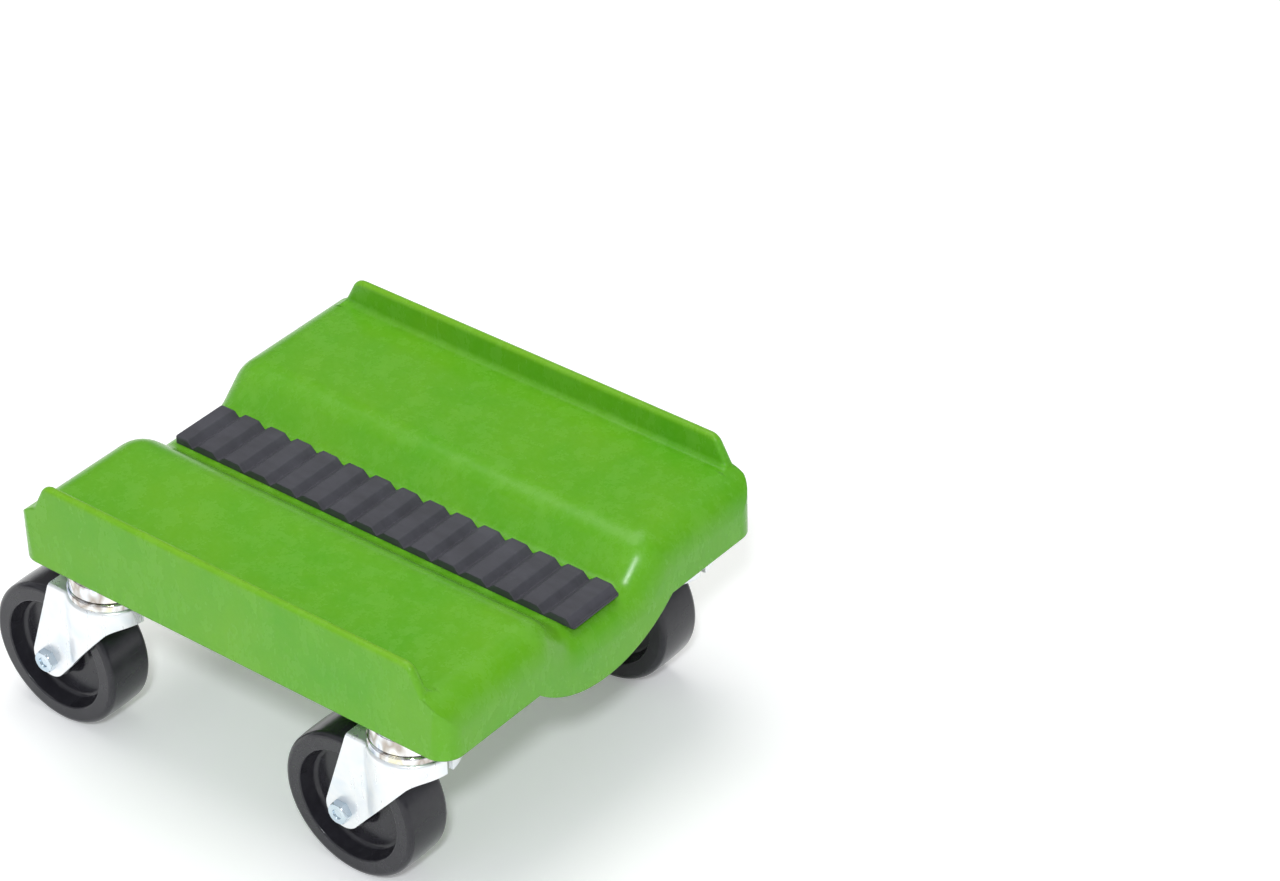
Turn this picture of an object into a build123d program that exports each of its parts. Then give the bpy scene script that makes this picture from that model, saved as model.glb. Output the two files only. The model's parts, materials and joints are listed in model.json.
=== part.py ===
"""Four-wheel dolly: a moulded deck with a grooved channel and two edge lips, a ribbed grip
strip in the channel, and a swivel stem caster under each corner."""
from build123d import *
from math import atan2, cos, radians, tan
import os

os.makedirs("parts", exist_ok=True)

# ---------------------------------------------------------------- driving dimensions (mm)
deck_length = 260.0          # along X, the way a ski lies
deck_width = 220.0           # along Y
deck_bottom_z = 98.0         # lower edge of the deck walls and the caster mounting face
ledge_z = 129.0              # the two load ledges
lip_top_z = 143.5            # edge lips that keep the load from sliding off
channel_floor_z = 113.0
channel_floor_half = 20.0
channel_mouth_half = 37.0
belly_half = 47.0            # keel under the channel
belly_bottom_z = 80.0
plan_corner_radius = 11.0
end_rounding = 17.0          # soft roll of ledges and channel into the end walls
shoulder_radius = 19.0
channel_foot_radius = 8.0
skin = 3.5
rib = 2.5

wall_draft = 0.8             # how far a long wall leans in from its lower edge to the ledge
lip_inner_y = 104.0
lip_foot_radius = 3.0
lip_crest_radius = 2.0
lip_flat_half = 110.0        # half length of the lip before its rounded ends
lip_end_run = 7.5
lip_end_radius = 7.0
lip_end_foot_radius = 5.0
lip_toe_half = 122.0         # half length over the toes that run into the rolled ends
lip_toe_drop = 2.6
lip_depth = 8.0              # how far the lip is rooted below the ledge
lip_foot_run = 4.0
lip_draft = 0.6

strip_left = 118.0           # cut to length and glued in a little off the middle
strip_right = 124.5
strip_width = 32.5
strip_top_z = 117.0
strip_pitch = 16.45
strip_corner = 1.5
notch_count = 15
last_notch = 123.4           # bottom of the last notch, where the strip was cut off
notch_depth = 3.2
notch_fall = 3.2             # run of a notch's side towards -X
notch_floor = 0.5
notch_rise = 4.0             # run of a notch's side towards +X
notch_edge_radius = 1.2

wheel_radius = 38.1          # 3 in caster wheel
wheel_width = 26.0
pivot_x = 92.0
pivot_y = 90.0
trail = 30.5                 # caster lead, swivel axis to axle

crown_top_z = 84.5
crown_radius = 21.5
crown_sheet = 2.4
leg_outer = 16.2             # half width over the fork legs
leg_end_radius = 9.8
crown_rear = 25.0            # where the crown ends over the wheel
skirt_bottom_z = 75.0

stem_radius = 5.0
axle_radius = 3.0            # M6 axle bolt
sleeve_radius = 6.0
shaft_clearance = 0.08
gap = 0.3                    # between pieces that turn against each other

race_radius = 19.6
ball_radius = 2.4
ball_count = 16
ball_circle = 13.6
ball_z = 92.6

# the footprint with all casters trailing to -X is centred on the origin
deck_x = (pivot_x + trail + wheel_radius - deck_length / 2) / 2
corners = {
    "front_left": (deck_x - pivot_x, -pivot_y),
    "front_right": (deck_x + pivot_x, -pivot_y),
    "rear_left": (deck_x - pivot_x, pivot_y),
    "rear_right": (deck_x + pivot_x, pivot_y),
}


def save(builder, node):
    builder.part.label = node
    export_step(builder.part, f"parts/{node}.step")


# ---------------------------------------------------------------- deck
deck_end_plane = Plane.YZ.offset(deck_x)
deck_side_plane = Plane((deck_x, 0, 0), x_dir=(1, 0, 0), z_dir=(0, -1, 0))
half_length = deck_length / 2
half_width = deck_width / 2
ledge_corner_y = half_width - wall_draft
wall_slope = wall_draft / (ledge_z - deck_bottom_z)
boss_radius = 20.0
insert_radius = 8.0
insert_length = 20.0
insert_sides = 12
cell_count_x = 9
cell_count_y = 8
cell_x = (deck_length - 2 * skin - (cell_count_x - 1) * rib) / cell_count_x
cell_y = (deck_width - 2 * skin - (cell_count_y - 1) * rib) / cell_count_y
edge_margin = 0.5
belly_margin = 1.0


def wall_y(z):
    """Outer face of a long wall at height z."""
    return half_width - (z - deck_bottom_z) * wall_slope


def rolled_body(inset, lower_z):
    """Block under the deck's top surface, moved in by inset: ledges, channel and rolled ends."""
    side = inset * tan(atan2(ledge_z - channel_floor_z, channel_mouth_half - channel_floor_half) / 2)
    mouth = channel_mouth_half + side
    foot = channel_floor_half + side
    top = ledge_z - inset
    floor = channel_floor_z - inset
    with BuildPart() as body:
        with BuildSketch(deck_end_plane):
            with BuildLine():
                Polyline(
                    (-half_width + inset, lower_z),
                    (-ledge_corner_y + inset, top),
                    (-mouth, top),
                    (-foot, floor),
                    (foot, floor),
                    (mouth, top),
                    (ledge_corner_y - inset, top),
                    (half_width - inset, lower_z),
                    close=True,
                )
            make_face()
            for sign in (-1, 1):
                fillet(vertices().sort_by_distance((sign * mouth, top))[0], shoulder_radius - inset)
                fillet(vertices().sort_by_distance((sign * foot, floor))[0], channel_foot_radius + inset)
        extrude(amount=half_length - inset, both=True)
        for end_face in (faces().sort_by(Axis.X)[0], faces().sort_by(Axis.X)[-1]):
            contour = [edge for edge in end_face.edges() if edge.center().Z > floor - edge_margin]
            fillet([edge for edge in contour if abs(edge.center().Y) < mouth * 2], end_rounding - inset)
    return body.part


# hollow inside the skin, divided into cells by the ribs and kept clear of the stem bosses
with BuildPart() as deck_cells:
    add(rolled_body(skin, belly_bottom_z - skin))
    with BuildSketch(Plane.XY.offset(belly_bottom_z - skin)):
        with Locations((deck_x, 0)):
            with GridLocations(cell_x + rib, cell_y + rib, cell_count_x, cell_count_y):
                Rectangle(cell_x, cell_y)
        with Locations(*corners.values()):
            Circle(boss_radius, mode=Mode.SUBTRACT)
    extrude(amount=ledge_z, mode=Mode.INTERSECT)

# one edge lip with its rounded ends, made at the +Y side
with BuildPart() as lip:
    with BuildSketch(deck_end_plane):
        with BuildLine():
            Polyline(
                (lip_inner_y - lip_foot_run, ledge_z - lip_depth),
                (lip_inner_y - lip_foot_run, ledge_z),
                (lip_inner_y, ledge_z),
                (lip_inner_y + lip_draft, lip_top_z),
                (wall_y(lip_top_z), lip_top_z),
                (wall_y(ledge_z - lip_depth), ledge_z - lip_depth),
                close=True,
            )
        make_face()
        fillet(vertices().sort_by_distance((lip_inner_y, ledge_z))[0], lip_foot_radius)
    extrude(amount=half_length, both=True)
    with BuildSketch(deck_side_plane):
        with BuildLine():
            Polyline(
                (-lip_toe_half, ledge_z - lip_depth),
                (-lip_toe_half, ledge_z - lip_toe_drop),
                (-lip_flat_half - lip_end_run, ledge_z),
                (-lip_flat_half, lip_top_z),
                (lip_flat_half, lip_top_z),
                (lip_flat_half + lip_end_run, ledge_z),
                (lip_toe_half, ledge_z - lip_toe_drop),
                (lip_toe_half, ledge_z - lip_depth),
                close=True,
            )
        make_face()
        fillet(vertices().group_by(Axis.Y)[-1], lip_end_radius)
        for sign in (-1, 1):
            toe = (sign * (lip_flat_half + lip_end_run), ledge_z)
            fillet(vertices().sort_by_distance(toe)[0], lip_end_foot_radius)
    extrude(amount=half_width, both=True, mode=Mode.INTERSECT)
    crest = [edge for edge in edges() if edge.center().Z > ledge_z + lip_foot_radius]
    fillet([edge for edge in crest if edge.bounding_box().size.X > edge_margin], lip_crest_radius)

with BuildPart() as deck_shell:
    add(rolled_body(0, deck_bottom_z))
    with BuildSketch(deck_end_plane):
        with BuildLine():
            Line((-belly_half, deck_bottom_z), (belly_half, deck_bottom_z))
            ThreePointArc(
                (belly_half, deck_bottom_z),
                (0, belly_bottom_z),
                (-belly_half, deck_bottom_z),
            )
        make_face()
    extrude(amount=half_length, both=True)
    with BuildSketch(Plane.XY.offset(belly_bottom_z - belly_margin)):
        with Locations((deck_x, 0)):
            RectangleRounded(deck_length, deck_width, plan_corner_radius)
    extrude(amount=ledge_z, mode=Mode.INTERSECT)
    add(lip.part)
    add(lip.part.mirror(Plane.XZ))
    add(deck_cells.part, mode=Mode.SUBTRACT)
    with BuildSketch(Plane.XY.offset(deck_bottom_z)):
        with Locations(*corners.values()):
            RegularPolygon(insert_radius, insert_sides)
    extrude(amount=insert_length, mode=Mode.SUBTRACT)
save(deck_shell, "deck_shell")


# ---------------------------------------------------------------- grip strip
with BuildPart() as grip_strip:
    with BuildSketch(Plane.XY.offset(channel_floor_z)):
        with Locations((deck_x + (strip_right - strip_left) / 2, 0)):
            RectangleRounded(strip_left + strip_right, strip_width, strip_corner)
    extrude(amount=strip_top_z - channel_floor_z)
    with BuildSketch(deck_side_plane):
        for index in range(notch_count):
            bottom_x = last_notch - index * strip_pitch
            with BuildLine():
                Polyline(
                    (bottom_x - notch_floor / 2 - notch_fall, strip_top_z),
                    (bottom_x - notch_floor / 2, strip_top_z - notch_depth),
                    (bottom_x + notch_floor / 2, strip_top_z - notch_depth),
                    (bottom_x + notch_floor / 2 + notch_rise, strip_top_z),
                    close=True,
                )
            make_face()
    extrude(amount=strip_width, both=True, mode=Mode.SUBTRACT)
    rib_edges = [edge for edge in edges().filter_by(Axis.Y) if edge.center().Z > strip_top_z - 0.1]
    fillet(rib_edges, notch_edge_radius)
save(grip_strip, "grip_strip")


# ---------------------------------------------------------------- stem inserts in the deck
with BuildPart() as stem_inserts:
    with BuildSketch(Plane.XY.offset(deck_bottom_z)):
        with Locations(*corners.values()):
            RegularPolygon(insert_radius, insert_sides)
            Circle(stem_radius, mode=Mode.SUBTRACT)
    extrude(amount=insert_length)
save(stem_inserts, "stem_inserts")


# ---------------------------------------------------------------- casters
crown_under_z = crown_top_z - crown_sheet
king_washer_top = crown_under_z - gap
king_washer_sheet = 2.2
king_head_height = 5.5
king_head_across = 17.0
king_washer_radius = 13.0
stem_chamfer = 0.8
race_sheet = 2.6
race_under_z = deck_bottom_z - race_sheet
lower_race_rim_z = 88.2
race_skirt_z = lower_race_rim_z + 2 * gap
race_shoulder = 3.0
race_inner_bend = 1.2
race_rim_bend = 1.5
lower_race_radius = 20.4
track_z = ball_z - 1.4       # height of the ring on both sides of the ball groove
lower_race_bore = 8.0
track_inner = 9.0
skirt_inner = race_radius - 2.4
leg_inner = leg_outer - crown_sheet
fork_reach = trail + leg_end_radius + 2
leg_bottom_z = wheel_radius - leg_end_radius - 1
cut_width = crown_radius + 1
front_notch = 3.5
notch_reach = 2 * crown_sheet + 2
skirt_curve = 14.0
bolt_head_across = 10.0
bolt_head_height = 4.0
bolt_end = 4.4               # thread past the nut-side leg
bolt_chamfer = 0.7
nut_height = 4.0
hex_rounding = 1.02          # circle that trims the corners of a hexagon, against its flats
hex_rounding_angle = 30.0
hub_radius = 10.5
hub_foot_radius = 12.0
web_half = 4.0
recess_rim_radius = 28.8
recess_floor_radius = 27.2
recess_rim_bend = 0.8
recess_floor_bend = 2.5
tread_edge_radius = 3.0
wheel_half = wheel_width / 2
tread_crown = 0.3
hex_ratio = 1 / cos(radians(30))
crease_radius = 5.0
crown_edge_radius = 1.8
skirt_start = -14.7          # where the leg's slanted front edge runs into the skirt
bolt_dimple_radius = 2.6
bolt_dimple_depth = 0.7
bolt_dimple_angle = 20.0


def axis_plane(x, y):
    """Vertical plane through a swivel axis: local x is +X, local y is +Z."""
    return Plane((x, y, 0), x_dir=(1, 0, 0), z_dir=(0, -1, 0))


for corner, (x, y) in corners.items():
    swivel = Axis((x, y, 0), (0, 0, 1))
    wheel_x = x - trail
    axle = Axis((wheel_x, y, wheel_radius), (0, 1, 0))
    axle_plane = Plane((wheel_x, y, wheel_radius), x_dir=(1, 0, 0), z_dir=(0, -1, 0))

    # threaded stem with the hexagon head that carries the whole swivel
    with BuildPart() as stem:
        with BuildSketch(Plane.XY.offset(king_washer_top - king_washer_sheet)):
            with Locations((x, y)):
                RegularPolygon(king_head_across / 2 * hex_ratio, 6)
        extrude(amount=-king_head_height)
        with BuildSketch(Plane.XY.offset(king_washer_top - king_washer_sheet)):
            with Locations((x, y)):
                Circle(stem_radius)
        extrude(amount=deck_bottom_z + insert_length - king_washer_top + king_washer_sheet - 1)
        chamfer(edges().group_by(Axis.Z)[-1], stem_chamfer)
    save(stem, f"stem_{corner}")

    with BuildPart() as king_washer:
        with BuildSketch(Plane.XY.offset(king_washer_top)):
            with Locations((x, y)):
                Circle(king_washer_radius)
                Circle(stem_radius, mode=Mode.SUBTRACT)
        extrude(amount=-king_washer_sheet)
        fillet(edges().group_by(Axis.Z)[0].sort_by(SortBy.LENGTH)[-1], stem_chamfer)
    save(king_washer, f"king_washer_{corner}")

    # pressed cup that bolts against the deck and rides on the balls
    with BuildPart() as upper_race:
        with BuildSketch(axis_plane(x, y)):
            with BuildLine():
                Polyline(
                    (stem_radius, deck_bottom_z),
                    (race_radius, deck_bottom_z),
                    (race_radius, race_skirt_z),
                    (skirt_inner, race_skirt_z),
                    (skirt_inner, race_under_z),
                    (stem_radius, race_under_z),
                    close=True,
                )
            make_face()
            outer_top = (race_radius, deck_bottom_z)
            fillet(vertices().sort_by_distance(outer_top)[0], race_shoulder)
            inner_top = (skirt_inner, race_under_z)
            fillet(vertices().sort_by_distance(inner_top)[0], race_inner_bend)
            with Locations((ball_circle, ball_z)):
                Circle(ball_radius + gap, mode=Mode.SUBTRACT)
        revolve(axis=swivel)
    save(upper_race, f"upper_race_{corner}")

    with BuildPart() as race_balls:
        with Locations((x, y, ball_z)):
            with PolarLocations(ball_circle, ball_count):
                Sphere(ball_radius)
    save(race_balls, f"race_balls_{corner}")

    # dished ring under the balls, seated on the fork crown
    with BuildPart() as lower_race:
        with BuildSketch(axis_plane(x, y)):
            with BuildLine():
                Polyline(
                    (lower_race_bore, crown_top_z),
                    (lower_race_radius, crown_top_z),
                    (lower_race_radius, lower_race_rim_z),
                    (skirt_inner - gap, lower_race_rim_z),
                    (skirt_inner - gap, track_z),
                    (track_inner, track_z),
                    close=True,
                )
            make_face()
            rim = (lower_race_radius, lower_race_rim_z)
            fillet(vertices().sort_by_distance(rim)[0], race_rim_bend)
            with Locations((ball_circle, ball_z)):
                Circle(ball_radius, mode=Mode.SUBTRACT)
        revolve(axis=swivel)
    save(lower_race, f"lower_race_{corner}")

    # pressed fork: round crown, short skirt in front, two tapered legs behind
    with BuildPart() as fork:
        with BuildSketch(Plane.XY.offset(leg_bottom_z)):
            with Locations((x, y)):
                Circle(crown_radius)
            with Locations((x - fork_reach / 2, y)):
                Rectangle(fork_reach, 2 * leg_outer)
            creases = vertices().group_by(Axis.X)[-1]
            fillet(creases, crease_radius)
        extrude(amount=crown_top_z - leg_bottom_z)
        outline = edges().group_by(Axis.Z)[-1]
        fillet([edge for edge in outline if edge.center().X > x - fork_reach], crown_edge_radius)
        with BuildSketch(Plane.XY.offset(leg_bottom_z)):
            with Locations((x, y)):
                Circle(crown_radius - crown_sheet)
            with Locations((x - fork_reach, y)):
                Rectangle(2 * fork_reach, 2 * leg_inner)
        extrude(amount=crown_under_z - leg_bottom_z, mode=Mode.SUBTRACT)
        with BuildSketch(axis_plane(x, y)):
            with BuildLine():
                CenterArc((-trail, wheel_radius), leg_end_radius, 0, 360)
                Polyline(
                    (-crown_rear, crown_top_z),
                    (-skirt_start, crown_top_z),
                    (-skirt_start, skirt_bottom_z),
                )
            make_hull()
            with Locations((-skirt_start, skirt_bottom_z)):
                Rectangle(
                    crown_radius + skirt_start,
                    crown_top_z - skirt_bottom_z,
                    align=(Align.MIN, Align.MIN),
                )
            skirt_corner = (-skirt_start, skirt_bottom_z)
            fillet(vertices().sort_by_distance(skirt_corner)[0], skirt_curve)
        extrude(amount=cut_width, both=True, mode=Mode.INTERSECT)
        with BuildSketch(Plane.XY.offset(leg_bottom_z)):
            with Locations((x, y)):
                Circle(stem_radius + shaft_clearance)
            with Locations((x + crown_radius, y)):
                Rectangle(notch_reach, front_notch)
        extrude(amount=crown_top_z, mode=Mode.SUBTRACT)
        with BuildSketch(axle_plane):
            Circle(axle_radius)
        extrude(amount=cut_width, both=True, mode=Mode.SUBTRACT)
    save(fork, f"fork_{corner}")

    with BuildPart() as axle_sleeve:
        with BuildSketch(axle_plane):
            Circle(sleeve_radius)
            Circle(axle_radius, mode=Mode.SUBTRACT)
        extrude(amount=leg_inner, both=True)
    save(axle_sleeve, f"axle_sleeve_{corner}")

    with BuildPart() as axle_bolt:
        with BuildSketch(axle_plane.offset(leg_outer)):
            RegularPolygon(bolt_head_across / 2 * hex_ratio, 6)
        extrude(amount=bolt_head_height)
        with BuildSketch(axle_plane.offset(leg_outer + bolt_head_height)):
            Circle(bolt_head_across / 2 * hex_rounding)
        extrude(amount=-bolt_head_height, taper=-hex_rounding_angle, mode=Mode.INTERSECT)
        with BuildSketch(axle_plane.offset(leg_outer + bolt_head_height)):
            Circle(bolt_dimple_radius)
        extrude(amount=-bolt_dimple_depth, taper=bolt_dimple_angle, mode=Mode.SUBTRACT)
        with BuildSketch(axle_plane.offset(leg_outer)):
            Circle(axle_radius)
        extrude(amount=-2 * leg_outer - bolt_end)
        chamfer(edges().group_by(Axis.Y)[-1], bolt_chamfer)
    save(axle_bolt, f"axle_bolt_{corner}")

    with BuildPart() as axle_nut:
        with BuildSketch(axle_plane.offset(-leg_outer)):
            RegularPolygon(bolt_head_across / 2 * hex_ratio, 6)
        extrude(amount=-nut_height)
        with BuildSketch(axle_plane.offset(-leg_outer - nut_height)):
            Circle(bolt_head_across / 2 * hex_rounding)
        extrude(amount=nut_height, taper=-hex_rounding_angle, mode=Mode.INTERSECT)
        with BuildSketch(axle_plane.offset(-leg_outer)):
            Circle(axle_radius)
        extrude(amount=-nut_height, mode=Mode.SUBTRACT)
    save(axle_nut, f"axle_nut_{corner}")

    # one-piece moulded wheel, both faces dished down to a thin web
    with BuildPart() as wheel:
        with BuildSketch(Plane((wheel_x, y, wheel_radius), x_dir=(0, 1, 0), z_dir=(1, 0, 0))):
            with BuildLine():
                Polyline(
                    (-wheel_half, wheel_radius - tread_edge_radius),
                    (-wheel_half, recess_rim_radius),
                    (-web_half, recess_floor_radius),
                    (-web_half, hub_foot_radius),
                    (-wheel_half, hub_radius),
                    (-wheel_half, sleeve_radius + shaft_clearance),
                    (wheel_half, sleeve_radius + shaft_clearance),
                    (wheel_half, hub_radius),
                    (web_half, hub_foot_radius),
                    (web_half, recess_floor_radius),
                    (wheel_half, recess_rim_radius),
                    (wheel_half, wheel_radius - tread_edge_radius),
                )
                tread_edge = wheel_half - tread_edge_radius
                tread_side = wheel_radius - tread_crown
                corner_cut = tread_edge_radius * (1 - cos(radians(45)))
                ThreePointArc(
                    (wheel_half, wheel_radius - tread_edge_radius),
                    (wheel_half - corner_cut, tread_side - corner_cut),
                    (tread_edge, tread_side),
                )
                ThreePointArc(
                    (tread_edge, tread_side),
                    (0, wheel_radius),
                    (-tread_edge, tread_side),
                )
                ThreePointArc(
                    (-tread_edge, tread_side),
                    (corner_cut - wheel_half, tread_side - corner_cut),
                    (-wheel_half, wheel_radius - tread_edge_radius),
                )
            make_face()
            for side in (-1, 1):
                for radius in (recess_floor_radius, hub_foot_radius):
                    floor_corner = (side * web_half, radius)
                    fillet(vertices().sort_by_distance(floor_corner)[0], recess_floor_bend)
                rim = (side * wheel_half, recess_rim_radius)
                fillet(vertices().sort_by_distance(rim)[0], recess_rim_bend)
        revolve(axis=axle)
    save(wheel, f"wheel_{corner}")
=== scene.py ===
"""Looks for the four-caster dolly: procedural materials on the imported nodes, studio and camera."""

import json
import math

import bpy
from mathutils import Matrix, Vector

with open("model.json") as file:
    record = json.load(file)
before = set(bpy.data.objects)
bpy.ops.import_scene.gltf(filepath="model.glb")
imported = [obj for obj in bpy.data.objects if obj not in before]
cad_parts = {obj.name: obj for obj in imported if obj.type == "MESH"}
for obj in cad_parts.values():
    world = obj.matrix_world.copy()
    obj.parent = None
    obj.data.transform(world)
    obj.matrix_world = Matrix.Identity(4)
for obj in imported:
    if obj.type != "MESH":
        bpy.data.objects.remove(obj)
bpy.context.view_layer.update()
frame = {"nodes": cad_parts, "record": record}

SLOTS = {s["node"]: s["material_slot"] for s in frame["record"]["subparts"]}

# Lengths are in metres, noise scales in cells per metre, and colours are linear RGB.
DECK_EDGE, STRIP_EDGE, WHEEL_EDGE, METAL_EDGE = 0.0014, 0.0011, 0.0006, 0.0004  # softened edges
LIP_HIGHLIGHT_START, LIP_CREST = 0.1405, 0.1434      # heights between which a painted highlight turns the lip crests lighter and yellower

ZINC = [(0.82, 0.87, 0.92), (0.92, 0.93, 0.94), (0.86, 0.89, 0.93)]
BALL_STEEL = [(0.72, 0.72, 0.74), (0.80, 0.80, 0.80)]
BRASS = [(0.66, 0.48, 0.22), (0.76, 0.58, 0.28)]
BOLT_PLATE = [(0.46, 0.58, 0.68), (0.76, 0.84, 0.90)]
# race cup colours: a yellow chromate tint, plus painted reflections in the bluish, white and brown
# patches
RACE_TINT_AND_REFLECTIONS = [
    (0.40, 0.46, 0.60), (0.90, 0.93, 0.98), (0.48, 0.42, 0.37),
    (0.92, 0.92, 0.92), (0.86, 0.80, 0.60), (0.92, 0.93, 0.95),
]

FLOOR_SIZE = 40.0
NEAR_GLOW, FAR_GLOW = 0.20, 0.75                # the floor's own light, so that it stays pale
GLOW_START, GLOW_END = 0.7, 3.5                 # distances over which that light grows
WARM_WHITE, COOL_WHITE = (1.0, 0.985, 0.95), (0.93, 0.97, 1.0)

WORLD_STRENGTH = 0.66
PATCH_SCALE = 2.6
PATCHES = [(0.44, (0.20, 0.19, 0.18)), (0.52, (0.95, 0.98, 1.02))]
BACKDROP = (0.98, 0.99, 0.99)

AZIMUTH, ELEVATION, ROLL = 39.616, 34.989, -1.687     # degrees
PLACE = (1.181643, -1.225119, 1.331053)
SENSOR_WIDTH = 36.0                             # mm
FOCAL_WIDTHS = 4532.49 / 1280                   # focal length in frame widths
CLIP_START = 0.05


def opaque(colour):
    return (*colour, 1.0)


def fill_ramp(node, stops):
    """Sets a colour ramp to (place, colour) stops."""
    ramp = node.color_ramp
    while len(ramp.elements) < len(stops):
        ramp.elements.new(0.5)
    for element, (place, colour) in zip(ramp.elements, stops):
        element.position = place
        element.color = opaque(colour)


# ------------------------------------------------------------------ material helpers
class Nodes:
    """A new node material with short calls to add and join its nodes."""

    def __init__(self, name):
        self.material = bpy.data.materials.new(name)
        self.material.use_nodes = True
        self.tree = self.material.node_tree
        self.shader = self.tree.nodes["Principled BSDF"]
        self.coords = self.tree.nodes.new("ShaderNodeTexCoord").outputs["Object"]

    def join(self, source, target):
        self.tree.links.new(source, target)

    def scaled(self, x, y, z, turn=0.0):
        """Object coordinates turned about Z, then stretched."""
        node = self.tree.nodes.new("ShaderNodeMapping")
        node.inputs["Rotation"].default_value = (0.0, 0.0, math.radians(turn))
        node.inputs["Scale"].default_value = (x, y, z)
        self.join(self.coords, node.inputs["Vector"])
        return node.outputs["Vector"]

    def height(self):
        """Z of the object coordinates."""
        node = self.tree.nodes.new("ShaderNodeSeparateXYZ")
        self.join(self.coords, node.inputs["Vector"])
        return node.outputs["Z"]

    def distance(self):
        """Distance from the object's origin."""
        node = self.tree.nodes.new("ShaderNodeVectorMath")
        node.operation = "LENGTH"
        self.join(self.coords, node.inputs[0])
        return node.outputs["Value"]

    def noise(self, scale, detail=3.0, roughness=0.55, vector=None):
        node = self.tree.nodes.new("ShaderNodeTexNoise")
        node.inputs["Scale"].default_value = scale
        node.inputs["Detail"].default_value = detail
        node.inputs["Roughness"].default_value = roughness
        self.join(vector or self.coords, node.inputs["Vector"])
        return node.outputs["Fac"]

    def ramp(self, value, stops):
        node = self.tree.nodes.new("ShaderNodeValToRGB")
        fill_ramp(node, stops)
        self.join(value, node.inputs["Fac"])
        return node.outputs["Color"]

    def spread(self, value, low, high, start=0.0, end=1.0):
        """value from start..end mapped to low..high"""
        node = self.tree.nodes.new("ShaderNodeMapRange")
        node.inputs["From Min"].default_value = start
        node.inputs["From Max"].default_value = end
        node.inputs["To Min"].default_value = low
        node.inputs["To Max"].default_value = high
        self.join(value, node.inputs["Value"])
        return node.outputs["Result"]

    def product(self, first, second):
        node = self.tree.nodes.new("ShaderNodeMath")
        node.operation = "MULTIPLY"
        self.join(first, node.inputs[0])
        self.join(second, node.inputs[1])
        return node.outputs[0]

    def mixed(self, factor, base, colour):
        """base blended towards one colour by a factor"""
        node = self.tree.nodes.new("ShaderNodeMix")
        node.data_type = "RGBA"
        factor_socket, base_socket, colour_socket = [s for s in node.inputs if s.enabled]
        self.join(factor, factor_socket)
        self.join(base, base_socket)
        colour_socket.default_value = opaque(colour)
        return [s for s in node.outputs if s.enabled][0]

    def surface(self, edge_radius, heights):
        """Rounded edges, then bump nodes in a chain, one for each (height, strength, distance)."""
        bevel = self.tree.nodes.new("ShaderNodeBevel")
        bevel.samples = 4
        bevel.inputs["Radius"].default_value = edge_radius
        normal = bevel.outputs["Normal"]
        for height, strength, distance in heights:
            node = self.tree.nodes.new("ShaderNodeBump")
            node.inputs["Strength"].default_value = strength
            node.inputs["Distance"].default_value = distance
            self.join(height, node.inputs["Height"])
            self.join(normal, node.inputs["Normal"])
            normal = node.outputs["Normal"]
        self.join(normal, self.shader.inputs["Normal"])

    def colour(self, source):
        self.join(source, self.shader.inputs["Base Color"])

    def roughness(self, source):
        self.join(source, self.shader.inputs["Roughness"])

    def set(self, **values):
        for key, value in values.items():
            self.shader.inputs[key.replace("_", " ")].default_value = value


def deck_plastic():
    """Satin green plastic with cloudy wear, fine powder, scuffs and a painted highlight that
    lightens and yellows the lip crests.
    """
    m = Nodes("deck_plastic")
    broad = m.noise(14.0, 5.0, 0.65)
    cloud = m.noise(95.0, 4.0, 0.7, m.scaled(1.0, 1.0, 0.55))
    powder = m.noise(420.0, 4.0, 0.75)
    scuffs = m.noise(26.0, 5.0, 0.7, m.scaled(1.0, 9.0, 1.0, 24.0))
    swirls = m.noise(31.0, 4.0, 0.7, m.scaled(8.0, 1.0, 1.0, -38.0))
    base = m.ramp(broad, [(0.32, (0.096, 0.374, 0.010)), (0.68, (0.138, 0.404, 0.012))])
    base = m.mixed(m.spread(cloud, 0.0, 0.30, 0.45, 0.72), base, (0.20, 0.50, 0.070))
    base = m.mixed(m.spread(powder, 0.0, 0.22, 0.45, 0.75), base, (0.22, 0.53, 0.080))
    # painted highlight: the colour turns lighter and yellower towards the lip crests, varied by the
    # broad noise
    crest_highlight = m.spread(m.height(), 0.0, 0.55, LIP_HIGHLIGHT_START, LIP_CREST)
    base = m.mixed(m.product(crest_highlight, m.spread(broad, 0.5, 1.0)), base, (0.23, 0.47, 0.012))
    base = m.mixed(m.spread(scuffs, 0.0, 0.20, 0.62, 0.80), base, (0.22, 0.52, 0.11))
    base = m.mixed(m.spread(swirls, 0.0, 0.18, 0.63, 0.80), base, (0.21, 0.50, 0.10))
    m.colour(base)
    m.roughness(m.spread(cloud, 0.22, 0.31, 0.3, 0.7))
    m.set(Specular_IOR_Level=0.27)
    m.surface(DECK_EDGE, [(m.noise(90.0, 2.0), 0.06, 0.0004), (powder, 0.03, 0.0002)])
    return m.material


def strip_rubber():
    """Matt charcoal rubber with dust and chalky scuffs."""
    m = Nodes("strip_rubber")
    grain = m.noise(900.0, 4.0, 0.75)
    dust = m.noise(55.0, 6.0, 0.72, m.scaled(0.6, 1.5, 1.0, 20.0))
    chalk = m.noise(120.0, 5.0, 0.7)
    base = m.ramp(dust, [(0.35, (0.043, 0.042, 0.053)), (0.72, (0.070, 0.069, 0.086))])
    base = m.mixed(m.spread(chalk, 0.0, 0.30, 0.62, 0.80), base, (0.14, 0.15, 0.17))
    m.colour(base)
    m.roughness(m.spread(dust, 0.55, 0.80))
    m.surface(STRIP_EDGE, [(grain, 0.25, 0.0002)])
    return m.material


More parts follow.
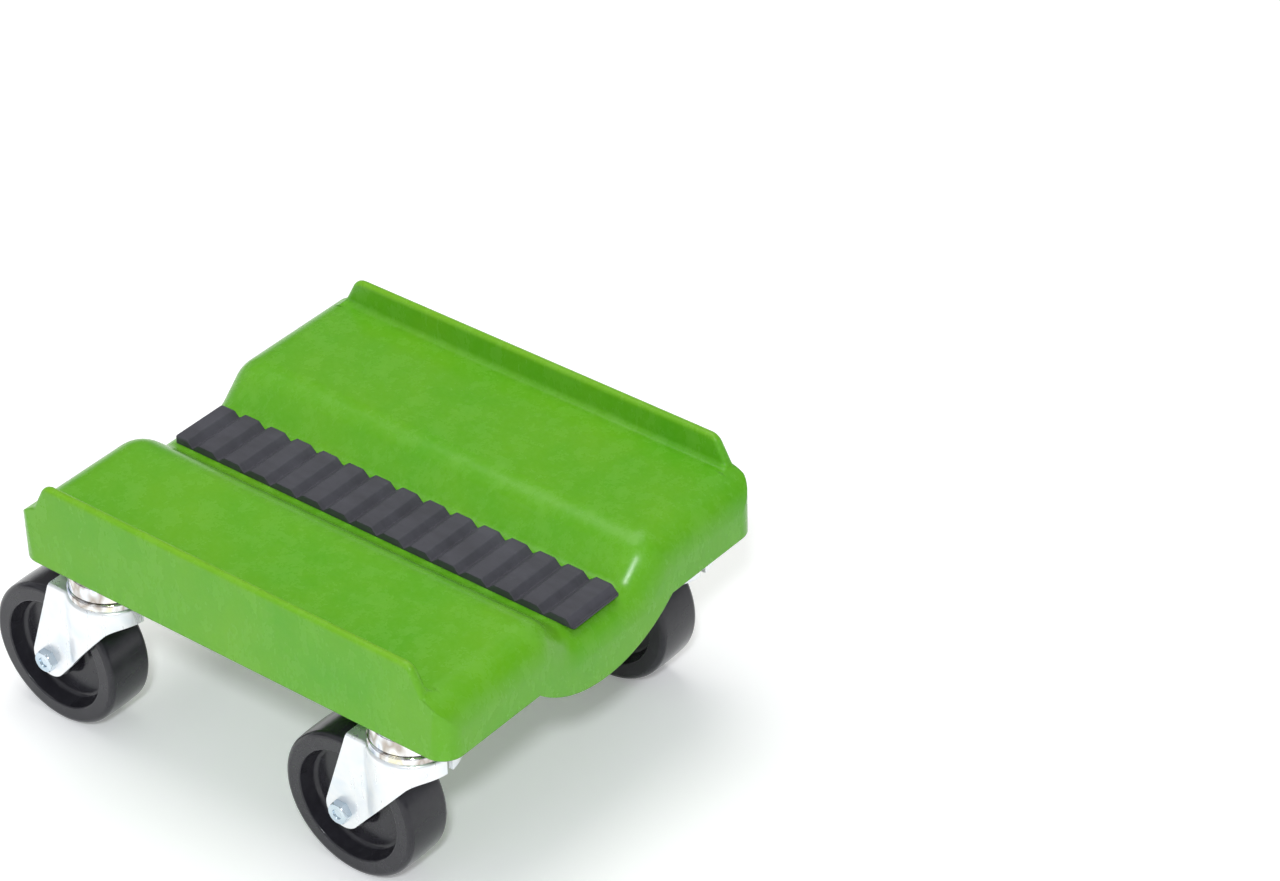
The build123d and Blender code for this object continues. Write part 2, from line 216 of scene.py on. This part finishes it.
def wheel_plastic():
    """Glossy hard black plastic with fine wear and scratches."""
    m = Nodes("wheel_plastic")
    wear = m.noise(90.0, 5.0, 0.65)
    scratches = m.noise(420.0, 3.0, 0.7, m.scaled(1.0, 0.08, 1.0))
    base = m.ramp(wear, [(0.4, (0.019, 0.018, 0.023)), (0.8, (0.030, 0.029, 0.035))])
    base = m.mixed(m.spread(scratches, 0.0, 0.25, 0.62, 0.8), base, (0.07, 0.07, 0.085))
    m.colour(base)
    m.roughness(m.spread(wear, 0.14, 0.26))
    m.set(Specular_IOR_Level=0.42)
    m.surface(WHEEL_EDGE, [(m.noise(240.0, 2.0), 0.05, 0.0003), (scratches, 0.04, 0.0001)])
    return m.material


def metal(name, colours, rough, bump, metallic=1.0, upright=1.0):
    """Metal whose colour drifts in patches; upright below 1 makes the patches taller."""
    m = Nodes(name)
    cloud = m.noise(80.0, 2.0, 0.5, m.scaled(1.0, 1.0, upright))
    streaks = m.noise(300.0, 4.0, 0.6, m.scaled(1.0, 1.0, 0.10))
    stops = [(0.30 + 0.4 * n / (len(colours) - 1), colour) for n, colour in enumerate(colours)]
    m.colour(m.ramp(cloud, stops))
    m.set(Metallic=metallic)
    m.roughness(m.spread(streaks, rough - 0.07, rough + 0.08, 0.3, 0.7))
    m.surface(METAL_EDGE, [(m.noise(480.0, 3.0), bump, 0.0002), (streaks, bump, 0.00004)])
    return m.material


MATERIALS = {
    "deck_plastic": deck_plastic(),
    "strip_rubber": strip_rubber(),
    "wheel_plastic": wheel_plastic(),
    "zinc_steel": metal("zinc_steel", ZINC, 0.32, 0.04, 0.72),
    "ball_steel": metal("ball_steel", BALL_STEEL, 0.14, 0.02),
    "insert_brass": metal("insert_brass", BRASS, 0.30, 0.10),
}
# the race cups get patches that are partly chromate tint and partly painted reflection, stretched
# taller like reflections on an upright cup
race_tint_and_reflection_metal = metal("race_plate_and_reflections", RACE_TINT_AND_REFLECTIONS, 0.10, 0.02, upright=0.55)
bolt_metal = metal("bolt_plate", BOLT_PLATE, 0.16, 0.02)
for node, obj in frame["nodes"].items():
    material = MATERIALS[SLOTS[node]]
    if node.startswith(("upper_race", "lower_race")):
        material = race_tint_and_reflection_metal
    if node.startswith(("axle_bolt", "axle_nut")):
        material = bolt_metal
    obj.data.materials.clear()
    obj.data.materials.append(material)


# ------------------------------------------------------------------ floor, light, camera
def paper_floor():
    mesh = bpy.data.meshes.new("floor")
    h = FLOOR_SIZE / 2
    mesh.from_pydata([(-h, -h, 0.0), (h, -h, 0.0), (h, h, 0.0), (-h, h, 0.0)], [], [(0, 1, 2, 3)])
    floor = bpy.data.objects.new("floor", mesh)
    bpy.context.scene.collection.objects.link(floor)
    m = Nodes("floor_paper")
    m.set(Roughness=0.9, Specular_IOR_Level=0.2, Emission_Color=(1.0, 1.0, 1.0, 1.0))
    glow = m.spread(m.distance(), NEAR_GLOW, FAR_GLOW, GLOW_START, GLOW_END)
    m.join(glow, m.shader.inputs["Emission Strength"])
    m.colour(m.ramp(m.noise(3.0), [(0.3, (0.95, 0.95, 0.95)), (0.7, (0.97, 0.97, 0.97))]))
    mesh.materials.append(m.material)


def area_light(name, place, aim, size, power, colour):
    data = bpy.data.lights.new(name, "AREA")
    data.shape = "DISK"
    data.size = size
    data.energy = power
    data.color = colour
    obj = bpy.data.objects.new(name, data)
    obj.location = place
    obj.rotation_euler = (Vector(aim) - Vector(place)).to_track_quat("-Z", "Y").to_euler()
    bpy.context.scene.collection.objects.link(obj)


def studio_world():
    """Light and dark patches for the metal to reflect, and a plain backdrop for the camera."""
    world = bpy.data.worlds.new("studio")
    world.use_nodes = True
    nodes, links = world.node_tree.nodes, world.node_tree.links
    background = nodes["Background"]
    background.inputs["Strength"].default_value = WORLD_STRENGTH
    where = nodes.new("ShaderNodeTexCoord")
    noise = nodes.new("ShaderNodeTexNoise")
    noise.inputs["Scale"].default_value = PATCH_SCALE
    noise.inputs["Detail"].default_value = 1.0
    patches = nodes.new("ShaderNodeValToRGB")
    fill_ramp(patches, PATCHES)
    backdrop = nodes.new("ShaderNodeBackground")
    backdrop.inputs["Color"].default_value = opaque(BACKDROP)
    path = nodes.new("ShaderNodeLightPath")
    choice = nodes.new("ShaderNodeMixShader")
    links.new(where.outputs["Generated"], noise.inputs["Vector"])
    links.new(noise.outputs["Fac"], patches.inputs["Fac"])
    links.new(patches.outputs["Color"], background.inputs["Color"])
    links.new(path.outputs["Is Camera Ray"], choice.inputs["Fac"])
    links.new(background.outputs["Background"], choice.inputs[1])
    links.new(backdrop.outputs["Background"], choice.inputs[2])
    links.new(choice.outputs["Shader"], nodes["World Output"].inputs["Surface"])
    bpy.context.scene.world = world


def photo_camera():
    data = bpy.data.cameras.new("camera")
    data.sensor_width = SENSOR_WIDTH
    data.lens = FOCAL_WIDTHS * SENSOR_WIDTH
    data.clip_start = CLIP_START
    camera = bpy.data.objects.new("camera", data)
    bpy.context.scene.collection.objects.link(camera)
    az, el, roll = map(math.radians, (AZIMUTH, ELEVATION, ROLL))
    back = Vector((math.sin(az) * math.cos(el), -math.cos(az) * math.cos(el), math.sin(el)))
    level = Vector((math.cos(az), math.sin(az), 0.0))
    upright = back.cross(level)
    right = math.cos(roll) * level + math.sin(roll) * upright
    up = math.cos(roll) * upright - math.sin(roll) * level
    matrix = Matrix((right, up, back)).transposed().to_4x4()
    matrix.translation = PLACE
    camera.matrix_world = matrix
    bpy.context.scene.camera = camera


paper_floor()
area_light("overhead", (-0.3, 0.2, 2.0), (0, 0, 0.1), 1.6, 19.0, WARM_WHITE)
area_light("front", (-0.5, -2.0, 0.9), (0, 0, 0.08), 1.2, 2.4, COOL_WHITE)
area_light("flash", (1.35, -1.55, 1.95), (0, 0, 0.08), 0.24, 28.0, COOL_WHITE)
studio_world()
photo_camera()
bpy.context.scene.view_settings.view_transform = "Standard"
